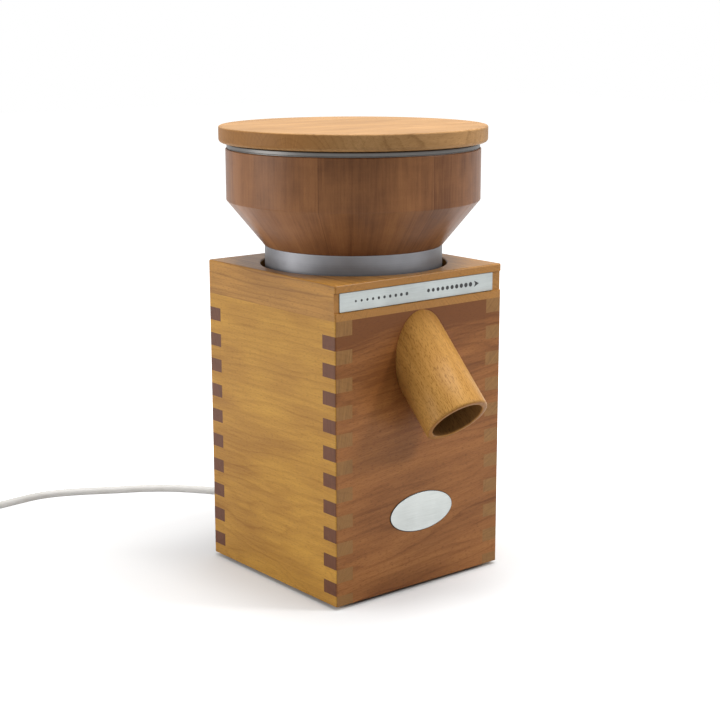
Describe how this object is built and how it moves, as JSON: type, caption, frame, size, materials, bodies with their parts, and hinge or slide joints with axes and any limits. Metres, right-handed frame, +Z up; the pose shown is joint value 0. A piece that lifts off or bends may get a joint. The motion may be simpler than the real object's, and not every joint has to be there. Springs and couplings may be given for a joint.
{
  "type": "electric grain mill",
  "caption": "Free-standing electric grain mill: finger-jointed wooden case, slanted flour spout, metal collar and turned wooden hopper with lid; the hopper turns to set the stones apart.",
  "frame": {"origin": "on the surface that the mill stands on, under the axis of its shaft and stones", "axes": "+Z up along the shaft, the spout points to -Y, +X to the right seen from the spout's side"},
  "size_m": [0.4228, 0.4669, 0.3644],
  "materials": {
    "light_beech": "oiled beech",
    "dark_panel": "oiled dark wood",
    "bowl_beech": "turned and oiled",
    "satin_aluminium": "turned satin",
    "cast_aluminium": "cast",
    "strip_metal": "printed sheet",
    "plywood": "plywood",
    "black_rubber": "moulded",
    "zinc_steel": "zinc plated",
    "millstone": "bonded corundum",
    "carrier_plastic": "moulded",
    "spring_steel": "drawn wire",
    "shaft_steel": "ground",
    "lamination": "stacked sheets",
    "copper_winding": "enamelled copper",
    "fan_plastic": "moulded",
    "bearing_steel": "ground",
    "capacitor_can": "moulded",
    "terminal_plastic": "moulded",
    "plate_plastic": "moulded",
    "rocker_plastic": "moulded",
    "wire_insulation": "extruded",
    "cord_sheath": "extruded",
    "plug_rubber": "moulded",
    "pin_metal": "nickel plated"
  },
  "bodies": {
    "root": {"left_panel": "light_beech", "right_panel": "light_beech", "top_block": "light_beech", "corner_cleats": "light_beech", "spout": "light_beech", "front_panel": "dark_panel", "rear_panel": "dark_panel", "milling_chamber": "cast_aluminium", "upper_end_shield": "cast_aluminium", "lower_end_shield": "cast_aluminium", "scale_strip": "strip_metal", "oval_plate": "strip_metal", "base_plate": "plywood", "rubber_feet": "black_rubber", "shaft_seal": "black_rubber", "strain_relief": "cord_sheath", "foot_screws": "zinc_steel", "chamber_screws": "zinc_steel", "plate_screws": "zinc_steel", "motor_bolts": "zinc_steel", "capacitor_clip": "zinc_steel", "stator_core": "lamination", "stator_winding": "copper_winding", "upper_bearing": "bearing_steel", "lower_bearing": "bearing_steel", "thermal_cutout": "terminal_plastic", "run_capacitor": "capacitor_can", "terminal_block": "terminal_plastic", "inner_wiring": "wire_insulation", "rear_plate": "plate_plastic", "switch_housing": "plate_plastic", "power_cord": "cord_sheath", "cord_coil": "cord_sheath", "cord_tail": "cord_sheath", "cord_tie": "plate_plastic", "plug_body": "plug_rubber", "plug_pins": "pin_metal", "plug_earth_contacts": "pin_metal"},
    "thread_seal": {"thread_seal": "black_rubber"},
    "hopper": {"collar": "satin_aluminium", "bowl": "bowl_beech", "rim_ring": "satin_aluminium", "bowl_screws": "zinc_steel", "feed_funnel": "satin_aluminium", "upper_stone": "millstone", "upper_stone_holder": "cast_aluminium", "holder_screws": "zinc_steel"},
    "lid": {"lid": "light_beech", "lid_spigot": "light_beech", "lid_screws": "zinc_steel"},
    "rotor": {"motor_shaft": "shaft_steel", "rotor_core": "lamination", "cooling_fan": "fan_plastic", "drive_pin": "shaft_steel", "retaining_ring": "spring_steel", "fan_clip": "spring_steel", "stone_spring": "spring_steel"},
    "lower_stone": {"lower_stone": "millstone", "stone_carrier": "carrier_plastic"},
    "switch_rocker": {"switch_rocker": "rocker_plastic"}
  },
  "joints": [
    {"name": "hopper_lift", "type": "slide", "parent": "root", "child": "thread_seal", "axis": [0, 0, 1], "range_m": [0, 0.0034]},
    {"name": "hopper_turn", "type": "hinge", "parent": "thread_seal", "child": "hopper", "pos_m": [0, 0, 0.25], "axis": [0, 0, 1], "range_deg": [0, 300]},
    {"name": "lid_lift", "type": "slide", "parent": "hopper", "child": "lid", "axis": [0, 0, 1], "range_m": [0, 0.05]},
    {"name": "rotor_spin", "type": "hinge", "parent": "root", "child": "rotor", "pos_m": [0, 0, 0.115], "axis": [0, 0, 1], "continuous": true},
    {"name": "stone_float", "type": "slide", "parent": "rotor", "child": "lower_stone", "axis": [0, 0, 1], "range_m": [-0.0015, 0], "stiffness_N_per_m": 4000, "springref_m": 0.004, "deforming": ["stone_spring"]},
    {"name": "switch_rock", "type": "hinge", "parent": "root", "child": "switch_rocker", "pos_m": [-0.024, 0.0859, 0.031], "axis": [1, 0, 0], "range_deg": [0, 20]}
  ],
  "couplings": [
    {"joint": "hopper_lift", "follows": "hopper_turn", "m_per_rad": 0.00063662}
  ]
}
